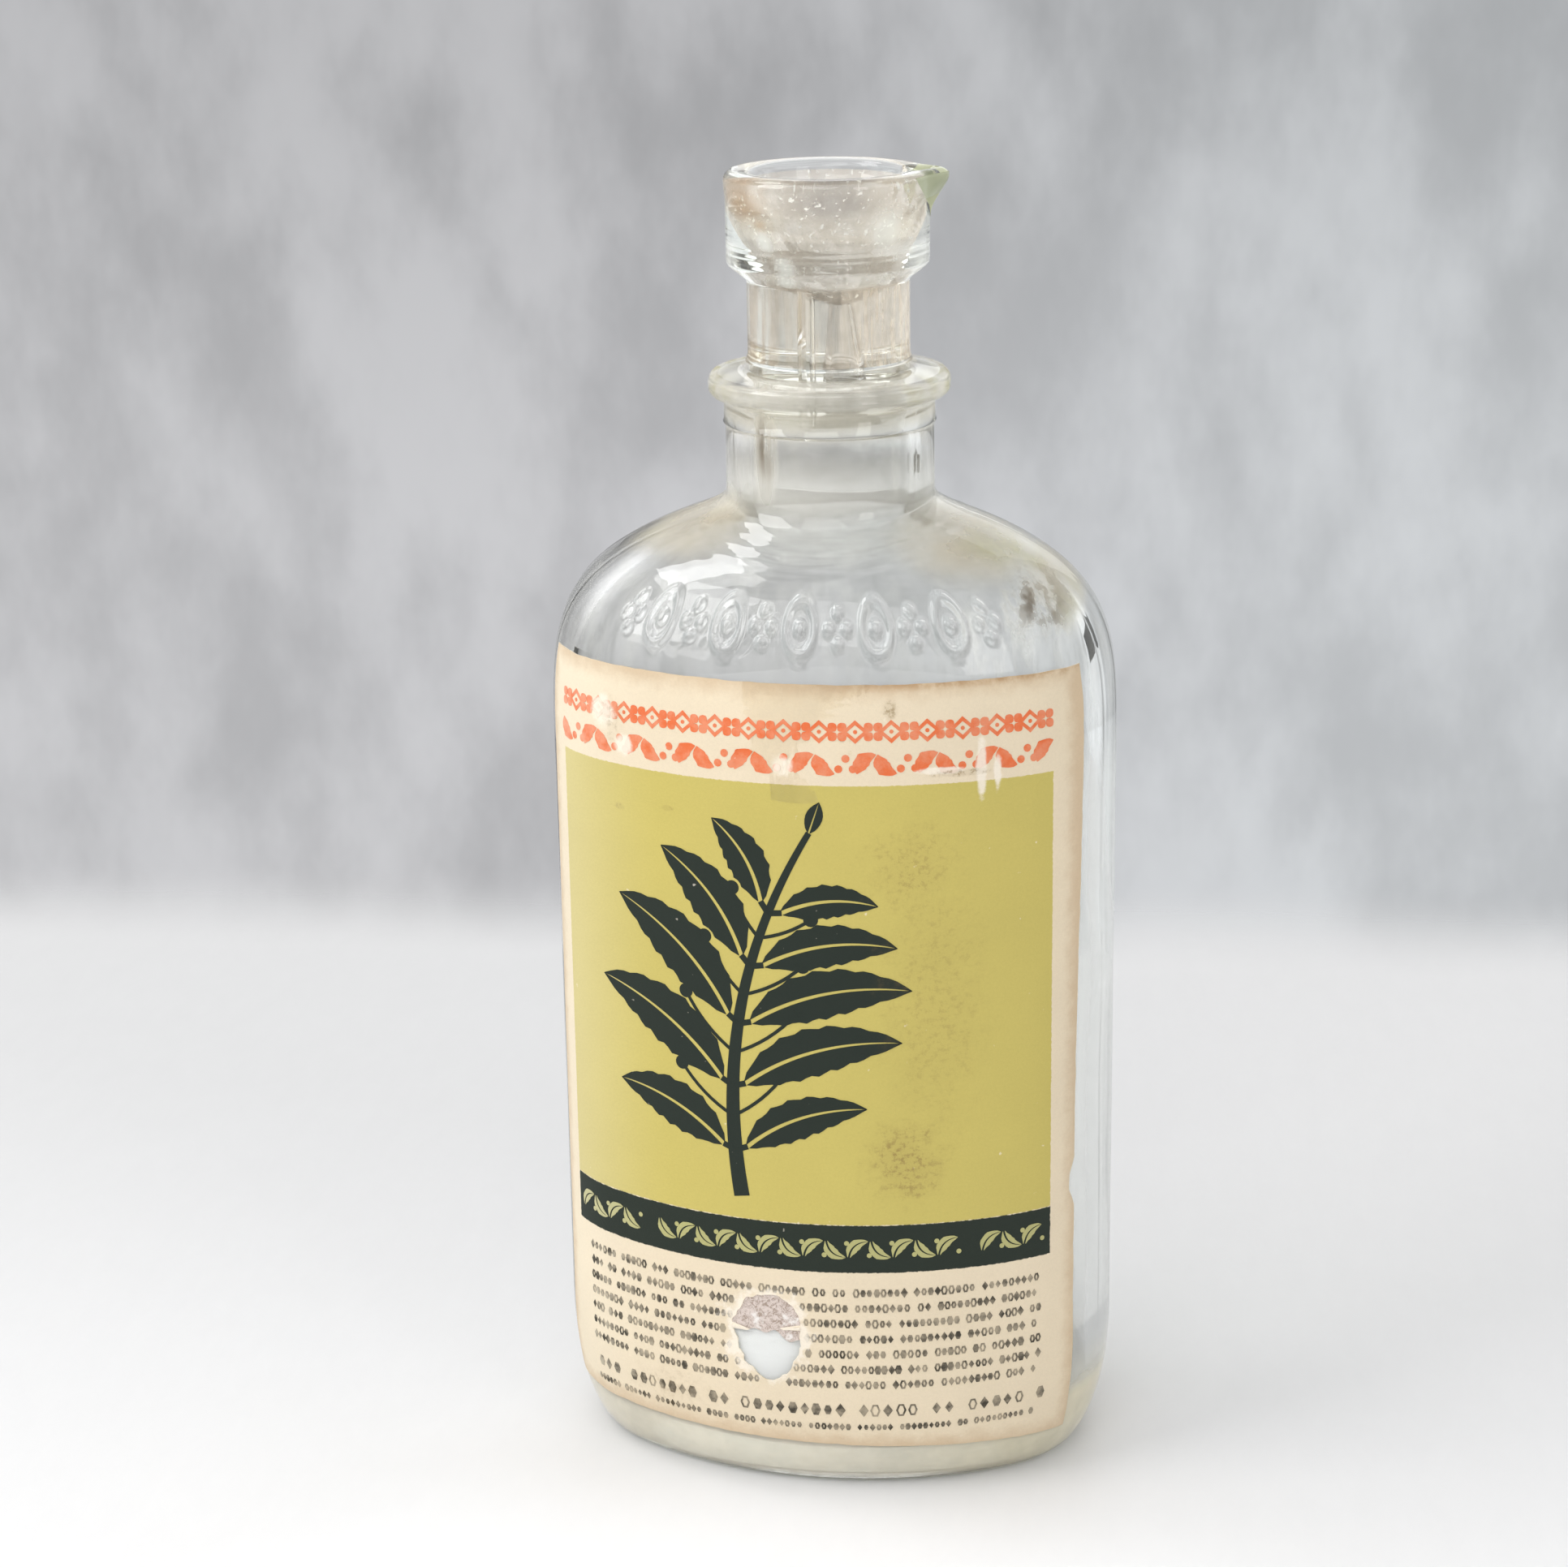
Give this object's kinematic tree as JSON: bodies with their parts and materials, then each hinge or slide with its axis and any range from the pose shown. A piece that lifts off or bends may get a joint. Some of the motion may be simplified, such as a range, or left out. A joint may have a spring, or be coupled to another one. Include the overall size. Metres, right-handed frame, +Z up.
{
  "type": "bottle",
  "caption": "Oval clear glass bottle with a domed collar, a glass safety pourer cemented in its neck, ribs and dosing strokes on the back and a worn paper label on the front.",
  "frame": {"origin": "middle of the base, on the surface that the bottle stands on", "axes": "+Z up along the neck, -Y towards the labelled front, +X towards the pouring beak, which is turned 10 degrees towards the back"},
  "size_m": [0.066, 0.0463, 0.1525],
  "materials": {
    "bottle_glass": "clear blown glass, faintly grey-green, dusty on the shoulder",
    "pourer_glass": "clear pressed glass with a brownish film inside the cup",
    "cement": "translucent yellow-grey resin cement",
    "label_paper": "aged printed paper, cream with a yellow-olive panel, torn and foxed"
  },
  "bodies": {
    "root": {"bottle_body": "bottle_glass", "safety_pourer": "pourer_glass", "cement_ring": "cement", "front_label": "label_paper"}
  },
  "joints": []
}
